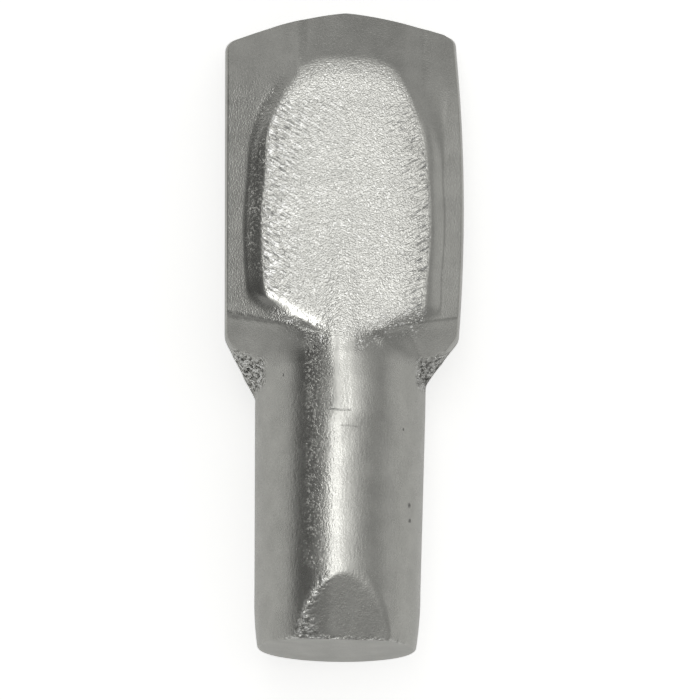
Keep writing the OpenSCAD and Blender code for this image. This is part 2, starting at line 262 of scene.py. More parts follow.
def flank(across, along):
    """How far the forging has climbed from the wire to the rim, 0 to 1."""
    out = np.abs(across) - NECK_R
    foot = flare_at(across) + np.maximum(0, out) / flare_slope(across)
    torn = ease((along - foot) / np.maximum(LEAST_TEAR, tear_top(across) - foot))
    seat = ease((along - TONGUE_AT - SEAT_AHEAD) / SEAT_LENGTH + 1)
    return mix(seat, torn, ease((out + GROOVE_FILL) / GROOVE_SIDE))


def bulge(across, edge, depth):
    t = np.clip((np.abs(across) - edge + depth) / depth, 0, 1)
    return np.sqrt(1 - t * t)


print(f"the tears end at {tear_top(-2.6):.2f} mm on the left and {tear_top(2.6):.2f} mm on the right")

# %% [markdown]
# The tongue filled an oval hollow of the die: parallel sides, pinched a little towards the
# neck, and a rounded far end. Its edge is a line of equal share, and share divided by its
# steepness gives a distance from that line in millimetres. A fuller widens its left edge.

# %% Oval of the tongue
TONGUE_SHIFT, TONGUE_PINCH = 0.05, 0.18
TONGUE_WIDEST, TONGUE_ARCH, TONGUE_BLUNT = 6.4, 5.5, 0.82
LEFT_FULLER, FULLER_FROM, FULLER_TO, LEAST_STEEP = 0.25, 13.4, 17.4, 0.1


def oval_place(along):
    return np.clip((along - TOP_LENGTH + TONGUE_WIDEST) / TONGUE_ARCH, 0, TONGUE_BLUNT)


def oval_half(along):
    oval_at = TOP_LENGTH - TONGUE_WIDEST
    return TONGUE_HALF - TONGUE_PINCH * ease((oval_at - along) / (oval_at - TONGUE_AT))


def oval_share(across, along):
    fuller_at = np.clip((along - FULLER_FROM) / (FULLER_TO - FULLER_FROM), 0, 1)
    fuller = LEFT_FULLER * np.sin(math.pi * fuller_at) ** 2
    half, s = oval_half(along) + by_side(across, fuller, 0), oval_place(along)
    a = np.abs(across - TONGUE_SHIFT) / half
    return np.hypot(a, s), np.hypot(a / half, s / TONGUE_ARCH)


def oval_distance(across, along):
    share, steepness = oval_share(across, along)
    return (share - 1) * share / np.maximum(LEAST_STEEP, steepness)


print(f"a point 3 mm left of the axis is {float(oval_distance(-3.0, 12.0)):.2f} mm outside the tongue")

# %% [markdown]
# Towards the neck the tongue opens as a V, one arm at 30 degrees and the other at 20. Its
# left wall is short and straight, as the die cut it. Its right wall is long and soft,
# because the metal did not fill the die there.

# %% V and walls of the tongue
FUNNEL_SKEW, FUNNEL_LEFT, FUNNEL_RIGHT = 0.18, 30.0, 20.0
TONGUE_WALL, WALL_ROUND, WALL_LINE, FUNNEL_WALL = 0.5, 0.15, 2.88, 0.46


def funnel_slope(across):
    return by_side(across, tan(FUNNEL_LEFT), tan(FUNNEL_RIGHT))


def funnel_distance(across, along):
    arms = TONGUE_AT + FUNNEL_SKEW * ease(across + 0.5) + np.abs(across) * funnel_slope(across)
    return (arms - along) * math.cos(math.radians(FUNNEL_LEFT))


def wall_share(across, along):
    """1 on top of the tongue, 0 at the foot of its walls."""
    beside = oval_distance(across, along)
    edge = TONGUE_SHIFT + oval_half(along) * np.sqrt(1 - oval_place(along) ** 2)
    t = np.clip(beside / np.maximum(TONGUE_WALL, WALL_LINE - edge), 0, 1)
    straight = soft_min(1, soft_max(0, 1 - beside / TONGUE_WALL, WALL_ROUND), WALL_ROUND)
    sides = by_side(across, straight, 1 - t * t * (2 - t))
    return sides * (1 - ease(funnel_distance(across, along) / FUNNEL_WALL))


print("share of the wall 0.3 mm outside, left and right:",
      [round(float(wall_share(side * 2.75, 13.0)), 2) for side in (-1, 1)])

# %% [markdown]
# The top of the tongue is nearly level, with a slight crown and a rolled edge at the V. Near
# the tip it tips over a bowed front and falls at a steeper slope to the end.

# %% Top of the tongue
TONGUE_CROWN, FRONT_ROUND = 0.04, 0.06
ROLL_WIDTH, ROLL_LEFT, ROLL_RIGHT = 0.32, 0.018, 0.003


def past_front(across, along):
    return along - TONGUE_END + FRONT_BOW * np.abs(across - TONGUE_SHIFT) ** 3


def tongue_level(across, along):
    crown = TONGUE_CROWN * (0.5 - ((across - TONGUE_SHIFT) / TONGUE_HALF) ** 2)
    rolled = np.clip(1 + funnel_distance(across, along) / ROLL_WIDTH, 0, 2) ** 2
    roll = by_side(across, ROLL_LEFT, ROLL_RIGHT) * rolled
    plateau = TONGUE_HEIGHT - np.maximum(0, along - TONGUE_AT) * tan(TONGUE_SLOPE) + crown - roll
    front = (TONGUE_HEIGHT - (TONGUE_END - TONGUE_AT) * tan(TONGUE_SLOPE)
             - past_front(across, along) * tan(FRONT_SLOPE))
    return soft_min(plateau, front, FRONT_ROUND)


print(f"the tongue is {float(tongue_level(0.0, 12.0)):.2f} mm above the axis at 12 mm")

# %% [markdown]
# All of this is one height: the rim climbs out of the wire by the share of the flank, and
# the tongue stands on it by the share of its wall. The grooves beside the neck are filled
# more softly than the neck's own foot.

# %% Height of the side with the tongue
EDGE_ROUND, SIDE_FROM, SIDE_FADE, SIDE_RUN = 0.08, 1.1, 0.5, 1.5
NECK_BLEND, GROOVE_BLEND, GROOVE_FROM, GROOVE_RUN = 0.3, 0.65, 0.8, 0.5


def top_height(across, along, edge):
    climb = flank(across, along) * bulge(across, edge, EDGE_ROUND)
    rim = mix(belly(along), rim_level(across, along), climb)
    neck, level = neck_height(across, along), tongue_level(across, along)
    at_side = ease((np.abs(across) - SIDE_FROM) / SIDE_FADE) * ease((along - TONGUE_END) / SIDE_RUN + 1)
    raised = np.where(along < TONGUE_END, soft_max(neck, level, DIE_ROUND), level)
    raised = mix(raised, soft_max(raised, rim, DIE_ROUND / 3), at_side)
    blend = mix(NECK_BLEND, GROOVE_BLEND, ease((np.abs(across) - GROOVE_FROM) / GROOVE_RUN))
    return mix(soft_max(neck, rim, blend), raised, wall_share(across, along))


print("heights at 12 mm, from left to right (mm):",
      top_height(np.array([-3.3, -2.7, -2.0, 0.0, 2.0, 2.7, 3.2]), 12.0, 3.5).round(2).tolist())

# %% [markdown]
# The other side bears the shelf. It starts as the lower half of the wire, meets a sloping
# back through a small arc and then stays on one flat plane as far as the tip.

# %% Height of the bearing side
SIDE_BULGE, CORE_DEPTH, BACK_SLOPE, BACK_ROUND = 0.2, 1.0, 1.1, 0.5
BACK_TURN = math.atan((NECK_R - FLAT_DEPTH) / BACK_SLOPE)
ARC_END = FLAT_AT + BACK_ROUND * math.tan(BACK_TURN / 2)


def bottom_height(across, along, edge):
    core = mix(belly(along), -CORE_DEPTH, bulge(across, edge, SIDE_BULGE + CORE_DEPTH))
    to_arc = np.clip((ARC_END - along) / BACK_ROUND, 0, math.sin(BACK_TURN))
    arc = -FLAT_DEPTH - BACK_ROUND * (1 - np.sqrt(1 - to_arc ** 2))
    slope = -FLAT_DEPTH - (FLAT_AT - along) * math.tan(BACK_TURN)
    before_arc = along <= ARC_END - BACK_ROUND * math.sin(BACK_TURN)
    flat = np.where(along > ARC_END, -FLAT_DEPTH, np.where(before_arc, slope, arc))
    return np.maximum(np.minimum(-wire_height(across), core), flat)


print(f"the flat begins at {ARC_END:.2f} mm, {FLAT_DEPTH} mm below the axis")

# %% [markdown]
# A loft needs rings of equal count. Each ring here has a top row and a bottom row, from
# the left edge to the right. The rings bend to follow the shoulders and the tip, and their
# points gather beside the tongue, so edges of the form lie along edges of the mesh.

# %% Rings of the forging
TOP_POINTS, BACK_POINTS = 188, 94
FALL_LEFT, FALL_RIGHT, TIP_POWER = 0.8, 0.6, 1.3
BEND_IN, BEND_KEEP, BEND_OUT, FALL_RUN, LEAN_RUN = 1.4, 1.0, 3.5, 2.4, 0.7
ON_TONGUE, ON_WALL, GATHER_AFTER = 0.5, 0.22, 1.2  # shares of a row's points, and where that begins


def bend(share, station):
    forward = (ease((station - PEG_LENGTH) / BEND_IN)
               * (1 - ease((station - TONGUE_AT - BEND_KEEP) / BEND_OUT)))
    back = ease((station - TOP_LENGTH) / FALL_RUN + 1)
    return (LEFT_ROOT * funnel_slope(share) * np.abs(share) * forward
            - by_side(share, FALL_LEFT, FALL_RIGHT) * np.abs(share) ** TIP_POWER * back)


def spread(turn, edge, station):
    """How far aside each point of a row lies: evenly round a wire, gathered beside the tongue."""
    t = np.abs(turn) / 90
    inner = TONGUE_HALF * np.sqrt(1 - oval_place(station) ** 2)
    outer = np.maximum(inner + TONGUE_WALL, np.where(turn < 0, 0, WALL_LINE))
    beside = np.where(t < ON_TONGUE, inner * t / ON_TONGUE, mix(inner, outer, (t - ON_TONGUE) / ON_WALL))
    past = np.clip((t - ON_TONGUE - ON_WALL) / (1 - ON_TONGUE - ON_WALL), 0, 1)
    beside = np.where(t < ON_TONGUE + ON_WALL, beside, mix(outer, edge, np.sin(np.radians(90 * past))))
    gathered = ease((station - PEG_LENGTH - GATHER_AFTER) / BEND_IN)
    return mix(edge * np.sin(np.radians(np.abs(turn))), beside, gathered)


def forged_row(stations, count, top):
    turn = (-90 + (np.arange(count) + 0.5) * 180 / count)[None, :] + 0 * stations[:, None]
    station = stations[:, None] + 0 * turn
    base = half_width(turn, station)
    along = station + bend(np.sign(turn) * spread(turn, base, station) / base, station)
    edge = half_width(turn, along) - corner_cut(turn, station)
    across = np.sign(turn) * spread(turn, edge, station)
    above = (top_height if top else bottom_height)(across, along, edge)
    lean = tan(TIP_LEAN) * ease((station - TOP_LENGTH) / LEAN_RUN + 1)
    unrounded = top_height(across, along, edge + 1)
    return across, along + (unrounded - above) * lean, above


print(f"rows of {TOP_POINTS} points above and {BACK_POINTS} below")

# %% [markdown]
# The peg is drawn wire with a short lead, a rounded end and a slanted bevel on its upper
# side. Its rings are plain circles, cut by the plane of the bevel: crisply on the left, with
# a softer edge on the right.

# %% Rings of the peg
LEAD_DEPTH, END_ROUND, SWELL_LENGTH = 0.1, 0.1, 2.7
BEVEL_DEPTH, BEVEL_LENGTH, BEVEL_LEAN, BEVEL_CRISP, BEVEL_SOFT, SOFT_FROM = 0.58, 1.95, 6.0, 0.02, 0.09, 0.8


def peg_radius(along):
    drawn = PEG_R - LEAD_DEPTH * np.clip(1 - (along - END_ROUND) / (LEAD_LENGTH - END_ROUND), 0, 1) ** 2
    drawn = drawn + NECK_SWELL * np.clip(1 - (PEG_LENGTH - along) / SWELL_LENGTH, -0.9, 1)
    inset = END_ROUND * (1 - np.sqrt(np.maximum(0, 1 - np.clip(1 - along / END_ROUND, 0, 1) ** 2)))
    return drawn - inset


def bevel_plane(across, along):
    return PEG_R - BEVEL_DEPTH + along * BEVEL_DEPTH / BEVEL_LENGTH - across * tan(BEVEL_LEAN)


def peg_row(stations, count, top):
    turn = np.radians(-90 + (np.arange(count) + 0.5) * 180 / count)[None, :]
    radius = peg_radius(stations)[:, None]
    across = radius * np.sin(turn)
    along = stations[:, None] + 0 * turn
    above = radius * np.cos(turn) * (1 if top else -1)
    if top:
        softness = mix(BEVEL_CRISP, BEVEL_SOFT, ease(across / SOFT_FROM))
        above = pressed_crest(soft_min(above, bevel_plane(across, along), softness), across, along)
    return across, along, above


print(f"the sheared end is {2 * peg_radius(0.0):.2f} mm across, the barrel {2 * peg_radius(4.0):.2f} mm")

# %% [markdown]
# The rows lie closer together where the form turns fast. Every ring joins its top row to its
# back row, read the other way round, so the whole skin is one grid of points.

# %% The whole skin as one grid
END_ARC_STEPS, CORNER_STEPS = 5, 10
PEG_STEP, SHOULDER_STEP, TONGUE_STEP, APRON_STEP = 0.08, 0.046, 0.058, 0.05
FINE_TO, APRON_LEAD = 9.6, 0.3


def evenly(start, end, step):
    return np.linspace(start, end, max(2, round((end - start) / step)), endpoint=False)


end_arc = END_ROUND * (1 - np.cos(np.linspace(0, math.pi / 2, END_ARC_STEPS)))
corner_arc = CORNER_LEFT * (1 - np.sin(np.linspace(0, math.pi / 2, CORNER_STEPS)))
peg_stations = np.concatenate([
    end_arc, evenly(END_ROUND + 0.05, PEG_LENGTH - 0.01, PEG_STEP), [PEG_LENGTH - 0.008]])
forged_stations = np.concatenate([
    [PEG_LENGTH, PEG_LENGTH + 0.03], evenly(PEG_LENGTH + 0.08, FINE_TO, SHOULDER_STEP),
    evenly(FINE_TO, TONGUE_END - APRON_LEAD, TONGUE_STEP),
    evenly(TONGUE_END - APRON_LEAD, TOP_LENGTH - CORNER_LEFT, APRON_STEP), TOP_LENGTH - corner_arc])


def rings(top, count):
    parts = zip(peg_row(peg_stations, count, top), forged_row(forged_stations, count, top))
    return [np.vstack(pair) for pair in parts]


top_side, back_side = rings(True, TOP_POINTS), rings(False, BACK_POINTS)
grid = [np.hstack([t, b[:, ::-1]]) for t, b in zip(top_side, back_side)]
RINGS, RING = grid[0].shape
r, c = np.meshgrid(np.arange(RINGS - 1), np.arange(RING), indexing="ij")
here, beside = r * RING + c, r * RING + (c + 1) % RING
points = [np.stack([g.ravel() for g in grid], -1)]
quads = [np.stack([here, beside, beside + RING, here + RING], -1).reshape(-1, 4)]
triangles = []
count = RINGS * RING
print(f"{RINGS} rings of {RING} points")

# %% [markdown]
# Two caps close the loft. The tip's end face is a set of strips that go down from the top
# row to a last full row. The top row has twice as many points as the back row, so the last
# strip is sewn two edges to one, and a fan closes each side.

# %% Cap of the tip
TIP_STRIPS, FACE_BULGE, BULGE_POWER = 24, 0.005, 15
top_ids = count - RING + np.arange(TOP_POINTS)
back_ids = (count - 1 - np.arange(BACK_POINTS))
top_row, back_row = points[0][top_ids], points[0][back_ids]
half_steps = np.arange(TOP_POINTS) / 2 - 0.25
fine_back = np.stack([np.interp(half_steps, np.arange(BACK_POINTS), back_row[:, i]) for i in range(3)], -1)
side_share = top_row[:, 0] / np.abs(top_row[:, 0]).max()
full_side = np.stack([FACE_BULGE * side_share ** BULGE_POWER, 0 * side_share, 0 * side_share], -1)
for down in np.arange(1, TIP_STRIPS) / TIP_STRIPS:
    points.append(mix(top_row, fine_back, down) + full_side * 4 * down * (1 - down))
strip_ids = [top_ids] + [count + k * TOP_POINTS + np.arange(TOP_POINTS) for k in range(TIP_STRIPS - 1)]
count += (TIP_STRIPS - 1) * TOP_POINTS
for upper, lower in zip(strip_ids, strip_ids[1:]):
    quads.append(np.stack([upper[:-1], upper[1:], lower[1:], lower[:-1]], -1))
last, pairs = strip_ids[-1], np.arange(BACK_POINTS)
triangles.append(np.stack([last[2 * pairs], last[2 * pairs + 1], back_ids], -1))
quads.append(np.stack([last[2 * pairs[:-1] + 1], last[2 * pairs[:-1] + 2], back_ids[1:], back_ids[:-1]], -1))
for side in (0, -1):
    rim_ids = np.array([ids[side] for ids in strip_ids])
    fan = np.stack([rim_ids[:-1], rim_ids[1:], np.full(TIP_STRIPS - 1, back_ids[side])], -1)
    triangles.append(fan if side == 0 else fan[:, ::-1])
print(f"the tip's face takes {TIP_STRIPS} strips")

# %% [markdown]
# The sheared end of the peg is a set of ever smaller rings round one middle point, which
# keeps its triangles short, so that marks on this face stay fine.

# %% Cap of the sheared end
END_RINGS = 14
end_ring = points[0][:RING]
for size in np.linspace(1, 0, END_RINGS + 1)[1:-1]:
    points.append(end_ring * [size, 1, size])
end_ids = [np.arange(RING)] + [count + k * RING + np.arange(RING) for k in range(END_RINGS - 1)]
count += (END_RINGS - 1) * RING
for outer, inner in zip(end_ids, end_ids[1:]):
    quads.append(np.stack([outer, inner, np.roll(inner, -1), np.roll(outer, -1)], -1))
points.append(np.zeros((1, 3)))
triangles.append(np.stack([np.roll(end_ids[-1], -1), end_ids[-1], np.full(RING, count)], -1))
print(f"the sheared end takes {END_RINGS} rings")

# %% [markdown]
# Each four-sided face is split along its shorter diagonal, which keeps ridges that run
# askew clean. A skin that can be made of metal has no open edge and a sensible volume, so
# both are measured here.

# %% Make the mesh
pin_mm = np.vstack(points)
quad_ids = np.vstack(quads)
corner = pin_mm[quad_ids]
first_way = (np.linalg.norm(corner[:, 0] - corner[:, 2], axis=1)
             < np.linalg.norm(corner[:, 1] - corner[:, 3], axis=1))
halves = [quad_ids[first_way][:, [0, 1, 2]], quad_ids[first_way][:, [0, 2, 3]],
          quad_ids[~first_way][:, [0, 1, 3]], quad_ids[~first_way][:, [1, 2, 3]]]
faces = np.vstack(halves + triangles)
skin = bpy.data.meshes.new("forged_pin")
skin.from_pydata(in_frame(*pin_mm.T).tolist(), [], faces.tolist())
skin.update()
skin.shade_smooth()


def add_object(name, data):
    thing = bpy.data.objects.new(name, data)
    bpy.context.collection.objects.link(thing)
    return thing


blank = add_object("smooth_pin", skin)
probe = bmesh.new()
probe.from_mesh(skin)
open_edges = sum(not e.is_manifold for e in probe.edges)
print(f"{len(pin_mm)} points, {len(faces)} faces, {open_edges} open edges,",
      f"{probe.calc_volume(signed=True) / MM ** 3:.1f} cubic mm")
probe.free()

# %% [markdown]
# Each skin of the pin has its own finish, so every point is told how much of each finish it
# has, from 0 to 1. The masks use the distances that shaped the pin, so that a finish ends
# where its form does. The free top of the tongue is peened, and wrinkled along both sides.

# %% Masks of the tongue
LAPS, LAP_FADE = (0.06, 0.15), 0.1  # how far peening laps over the edge, left and right
V_LAPS, V_FADES = (0.06, 0.4), (0.15, 0.4)
FRONT_LAP, FRONT_FADE = 0.04, 0.4
RIDGE_AT, RIDGE_WIDTH, RIDGE_FROM, RIDGE_TO = 0.02, 0.15, -2.6, -0.6
WRINKLES_IN, WRINKLES_TO, WRINKLES_FADE = (1.5, 1.1), 15.0, 1.6


def rise(value, start, run):
    """0 up to start, then up to 1 over a run."""
    return ease((value - start) / run)


def fall(value, start, run):
    return 1 - rise(value, start, run)


def line(value, at, width):
    return np.exp(-((value - at) / width) ** 2)


across, along, above = pin_mm.T
aside = np.abs(across)
left, right = across < 0, across > 0
on_top = np.zeros(len(pin_mm), bool)
on_top[:RINGS * RING] = np.tile(np.arange(RING) < TOP_POINTS, RINGS)
inside = (1 - oval_share(across, along)[0]) * TONGUE_HALF
past_v = -funnel_distance(across, along)
free_top = (on_top * rise(inside, -by_side(across, *LAPS), LAP_FADE)
            * rise(past_v, -by_side(across, *V_LAPS), by_side(across, *V_FADES))
            * fall(past_front(across, along), -FRONT_LAP, FRONT_FADE))
ridge = (on_top * line(past_v, RIDGE_AT, RIDGE_WIDTH)
         * fall(across, RIDGE_TO, 0.3) * rise(across, RIDGE_FROM, 0.4))
wrinkled = (free_top * fall(inside, 0, by_side(across, *WRINKLES_IN))
            * fall(along, WRINKLES_TO, WRINKLES_FADE) * (1 - ridge))
print(f"{np.mean(free_top > 0.5):.0%} of the points are peened, {np.mean(wrinkled > 0.5):.0%} wrinkled")

# %% [markdown]
# Round the tongue the metal shows how it moved. The sheared shoulders are torn, the foot of
# the V is a gritty scarp, and the left wall and the left of the neck are scuffed, where the
# die slid over them.

# %% Masks of the shoulders and the neck
TEAR_IN, TEAR_LOW, TEAR_AFTER, TORN_RIGHT = 0.35, -0.1, 0.1, 0.75
SCARP_AT, SCARP_WIDTH, SCARP_IN, SCARP_OUT, SCARP_LEFT = -0.3, 0.3, 0.4, 2.3, -2.2
WALL_TO, WALL_PAST_V, WALL_SHORT = 0.35, 0.12, 1.04
SCUFF_FROM, SCUFF_TO, SCUFF_START, SCUFF_FULL = -1.15, -0.4, 1.8, 6.5
SCUFF_ON_PEG, SCUFF_ON_WALL, SCUFF_ON_SCARP = 0.5, 0.4, 0.9
torn = (rise(aside, NECK_R - TEAR_IN, 0.2) * rise(above, TEAR_LOW, 0.6)
        * rise(along, LEFT_FLARE_AT + TEAR_AFTER, 0.3) * fall(along, tear_top(across) - 0.05, 0.1)
        * by_side(across, 1, TORN_RIGHT))
scarp = (on_top * line(past_v, SCARP_AT, SCARP_WIDTH) * (aside > SCARP_IN) * fall(aside, SCARP_OUT, 0.3)
         * (1 - ridge) * by_side(across, rise(across, SCARP_LEFT, 0.8), 1))
beside = oval_distance(across, along)
on_wall = (on_top * left * rise(beside, 0, 0.08) * fall(beside, WALL_TO, 0.25)
           * rise(past_v, WALL_PAST_V, 0.6) * fall(along, TONGUE_END - WALL_SHORT, 0.8))
scuffed = (on_top * rise(across, SCUFF_FROM, 0.3) * fall(across, SCUFF_TO, 0.2)
           * rise(along, SCUFF_START, 0.5) * mix(SCUFF_ON_PEG, 1.0, rise(along, SCUFF_FULL, 0.5))
           * fall(past_v, -0.05, 0.15) + SCUFF_ON_WALL * on_wall)
scuffed = np.maximum(scuffed, SCUFF_ON_SCARP * scarp * left)
crest_edge = (on_top * line(across, BEAD_TO, 0.07) * rise(along, DIE_AT, DIE_RUN) * fall(past_v, -0.1, 0.2))
print(f"{np.mean(torn > 0.5):.1%} of the points are torn, {np.mean(scuffed > 0.5):.1%} scuffed")

# %% [markdown]
# The peg keeps the fine grain of drawn wire. Its end was sheared and its bevel pressed: that
# left a burr along the left of the bevel and along the edge of the cut. A mask of painted shade
# darkens the left of the bevel, the right torn flank and the foot of the V.
# All masks are then stored on the mesh, with each point's place in the pin's millimetres.

# %% Masks of the peg, and painted shade
BEVEL_NEAR, ON_PLANE, DRAWN_FADE = 0.2, 1e-4, 1.2
BURR_WIDTH, CUT_WIDTH, CUT_FROM, CUT_TO, CUT_RIGHT, FACE_BURR = 0.07, 0.08, -1.7, 1.8, 0.6, 0.7
PAINTED_SHADE_TEAR, PAINTED_SHADE_SCARP_LEFT, PAINTED_SHADE_SCARP_RIGHT = 0.8, 0.7, 0.25
drawn = fall(along, PEG_LENGTH, DRAWN_FADE)
sheared = (along < ON_PLANE).astype(float)
bevelled = on_top * (above > bevel_plane(across, along) - ON_PLANE) * (along < BEVEL_LENGTH + BEVEL_NEAR)
cut_depth = np.sqrt(np.maximum(0, peg_radius(along) ** 2 - across ** 2)) - bevel_plane(across, along)
face_burr = FACE_BURR * (cut_depth > 0) * fall(along, 0.4, 0.5) * fall(across, -0.85, 0.5)
burr = on_top * (along < BEVEL_LENGTH + 0.3) * (line(cut_depth, 0, BURR_WIDTH) + face_burr)
burr = np.minimum(1, burr) * fall(across, -0.5, 0.4)
cut_burr = on_top * line(along, 0, CUT_WIDTH) * rise(across, CUT_FROM, 0.3) * fall(across, CUT_TO, 0.3)
burr = np.maximum(burr, cut_burr * by_side(across, 1, CUT_RIGHT))
# painted shade: darkens the tint on the left of the bevel, the right torn flank and the foot of the V
painted_shade = (bevelled * fall(across, -0.75, 0.7) + PAINTED_SHADE_TEAR * torn * right
          + scarp * by_side(across, PAINTED_SHADE_SCARP_LEFT, PAINTED_SHADE_SCARP_RIGHT))
finishes = {"crest_edge": crest_edge, "free_top": free_top, "wrinkled": wrinkled, "torn": torn,
            "scarp": scarp, "ridge": ridge, "drawn": drawn, "sheared": sheared, "burr": burr,
            "scuffed": scuffed, "painted_shade": painted_shade}
for name, values in finishes.items():
    skin.attributes.new(name, "FLOAT", "POINT").data.foreach_set("value", values.astype(np.float32))
    print(f"{name:9} on {np.mean(values > 0.5) * 100:4.1f} % of the points")
places = skin.attributes.new("pin_mm", "FLOAT_VECTOR", "POINT").data
places.foreach_set("vector", pin_mm.astype(np.float32).ravel())

# %% [markdown]
# Materials and Geometry Nodes are both trees of small steps. A few helpers add a node with
# its inputs, a sum or a noise to either kind of tree. The noise is read in the pin's own
# millimetres, so its scale is the true number of bumps for each millimetre of steel.

# %% Helpers for node trees
def feed(socket, value):
    """Give an input a plain value, or another node's output."""
    if isinstance(value, bpy.types.NodeSocket):
        socket.id_data.links.new(value, socket)
    else:
        socket.default_value = value


def new_node(tree, kind, inputs=(), **settings):
    node = tree.nodes.new(kind)
    for name, value in settings.items():
        setattr(node, name, value)
    for name, value in dict(inputs).items():
        feed(node.inputs[name], value)
    return node


def number(tree, how, *values):
    """One step of arithmetic."""
    return new_node(tree, "ShaderNodeMath", enumerate(values), operation=how).outputs[0]


def chain(tree, how, terms):
    result = terms[0]
    for term in terms[1:]:
        result = number(tree, how, result, term)
    return result


def noise(tree, place, scale, detail, seed, stretch=(1, 1, 1), broken=0.5):
    """Noise from about -0.5 to 0.5; scale is in bumps for each mm."""
    sizes = [scale * k for k in stretch]
    sized = new_node(tree, "ShaderNodeVectorMath", {0: place, 1: sizes}, operation="MULTIPLY")
    bumps = {"Vector": sized.outputs[0], "Scale": 1, "Detail": detail, "Roughness": broken, "W": seed}
    cloud = new_node(tree, "ShaderNodeTexNoise", bumps, noise_dimensions="4D")
    return number(tree, "SUBTRACT", cloud.outputs[0], 0.5)


print("five helpers for any tree of nodes")

# %% [markdown]
# The metal is bare plated steel. A metal has no colour of its own in the usual sense: it
# mirrors the room, blurred by its roughness and dimmed by its tint. Handling and plating
# leave the roughness uneven, and the pressed ridge is polished.

# %% Plated steel: roughness
PLAIN_ROUGH, BLOTCHES, FINE_BLOTCHES = 0.24, 0.12, 0.08
ROUGHER = {"free_top": 0.09, "drawn": 0.03, "sheared": 0.12, "ridge": -0.12, "crest_edge": 0.12, "torn": -0.1}
steel = bpy.data.materials.new("plated_steel")
steel.use_nodes = True
metal = steel.node_tree
shader = metal.nodes["Principled BSDF"]
feed(shader.inputs["Metallic"], 1)


def painted(name):
    return new_node(metal, "ShaderNodeAttribute", attribute_name=name)


place = painted("pin_mm").outputs["Vector"]
has = {name: painted(name).outputs["Fac"] for name in finishes}


def total(*terms):
    return chain(metal, "ADD", terms)


def times(*factors):
    return chain(metal, "MULTIPLY", factors)


def over_zero(value):
    return number(metal, "MAXIMUM", value, 0.0)


def capped(value):
    return number(metal, "MINIMUM", over_zero(value), 1.0)


def by_finish(amounts):
    """Each finish's own amount, wherever that finish is."""
    return total(*[times(has[name], amount) for name, amount in amounts.items()])


def grained(scale, detail, seed, **more):
    return noise(metal, place, scale, detail, seed, **more)


roughness = total(PLAIN_ROUGH, by_finish(ROUGHER), times(grained(1.1, 4.0, 3.0), BLOTCHES),
                  times(grained(9.0, 2.0, 5.0), FINE_BLOTCHES))
feed(shader.inputs["Roughness"], roughness)
print(f"roughness {PLAIN_ROUGH} where plain, changed by {len(ROUGHER)} finishes")

# %% [markdown]
# Three patterns need a place of their own. Wrinkles run like the bones of a fish, slanting
# back from the middle line, so the noise for them is read in slanted and stretched
# directions. The lip of the die left two fine lines across the neck, and the peg has pits.

# %% Plated steel: slanted creases, die marks and pits
SLANT, STRETCH = 0.6, 0.22
MARK_SHARP, MARK_FADE, MARK_WAVE, NECK_TOP = 30.0, 8.0, 0.12, 1.5
PITS = ((2.05, 4.06, 0.045), (2.07, 3.61, 0.04), (1.85, 6.24, 0.025), (-1.67, 7.77, 0.025))
across_mm, along_mm, above_mm = new_node(metal, "ShaderNodeSeparateXYZ", {0: place}).outputs
aside_mm = number(metal, "ABSOLUTE", across_mm)
slanting = {0: total(along_mm, times(aside_mm, -SLANT)),
            1: times(total(aside_mm, times(along_mm, SLANT)), STRETCH)}
fishbone = new_node(metal, "ShaderNodeCombineXYZ", slanting).outputs[0]


def mark(at, centre, half):
    """A fine line across the neck where the lip of the die touched, 1 in its middle."""
    wavy = total(along_mm, times(grained(2.5, 2.0, 31.0 + at), MARK_WAVE), -at)
    thin = number(metal, "MULTIPLY_ADD", number(metal, "ABSOLUTE", wavy), -MARK_SHARP, 1.0)
    off = number(metal, "ABSOLUTE", total(across_mm, -centre))
    reach = number(metal, "MULTIPLY_ADD", off, -MARK_FADE, MARK_FADE * half)
    return times(over_zero(thin), number(metal, "GREATER_THAN", above_mm, NECK_TOP), capped(reach))


def pit(at_across, at_along, size):
    """A small pit on the upper half of the peg, 1 in its middle; painted shade darkens it in the flecks."""
    side, down = total(across_mm, -at_across), times(total(along_mm, -at_along), 0.5)
    hollow = total(1.0, times(total(times(side, side), times(down, down)), -1 / size ** 2))
    return times(over_zero(hollow), number(metal, "GREATER_THAN", above_mm, 0.5))


die_marks = total(mark(6.65, 0.0, 0.42), times(mark(6.19, 0.3, 0.34), 0.7))
pits = total(*[pit(*sizes) for sizes in PITS])
print(f"2 die marks and {len(PITS)} pits")

# %% [markdown]
# The finest grain is too small for the mesh, so it is a bump in the material. Its heights
# are in micrometres: fine peening, creases, the grain of drawn wire, crumbs of torn metal
# and sparse specks on the scuffed skin.

# %% Plated steel: bump
PEEN, CRUMBS = {"free_top": 9.0, "scarp": 16.0}, {"torn": 330.0, "burr": 70.0}
PEEN_ALL, PEEN_OFF_RIDGE, PEEN_COARSE, CREASE, GRAIN = 4.0, 0.85, 10.0, 36.0, 5.0
SPECK, SPECK_UNEVEN, SPECK_FROM, MARK_DEPTH, PIT_DEPTH, MICROMETRE = 70.0, 320.0, 0.02, 5.0, 20.0, 1e-6
fine_peen = times(total(by_finish(PEEN), PEEN_ALL),
                  number(metal, "SUBTRACT", 1.0, times(has["ridge"], PEEN_OFF_RIDGE)))
peen = total(times(grained(24.0, 0.5, 7.0), fine_peen),
             times(grained(8.0, 1.0, 8.0), has["free_top"], PEEN_COARSE))
fins = noise(metal, fishbone, 12.0, 1.0, 9.0)
grain = times(grained(14.0, 1.5, 11.0, stretch=(1, 0.35, 1)), has["drawn"], GRAIN)
specks = over_zero(total(grained(14.0, 1.5, 15.0, broken=0.65), -SPECK_FROM))
speck_height = total(SPECK, times(grained(3.0, 2.0, 16.0), SPECK_UNEVEN))
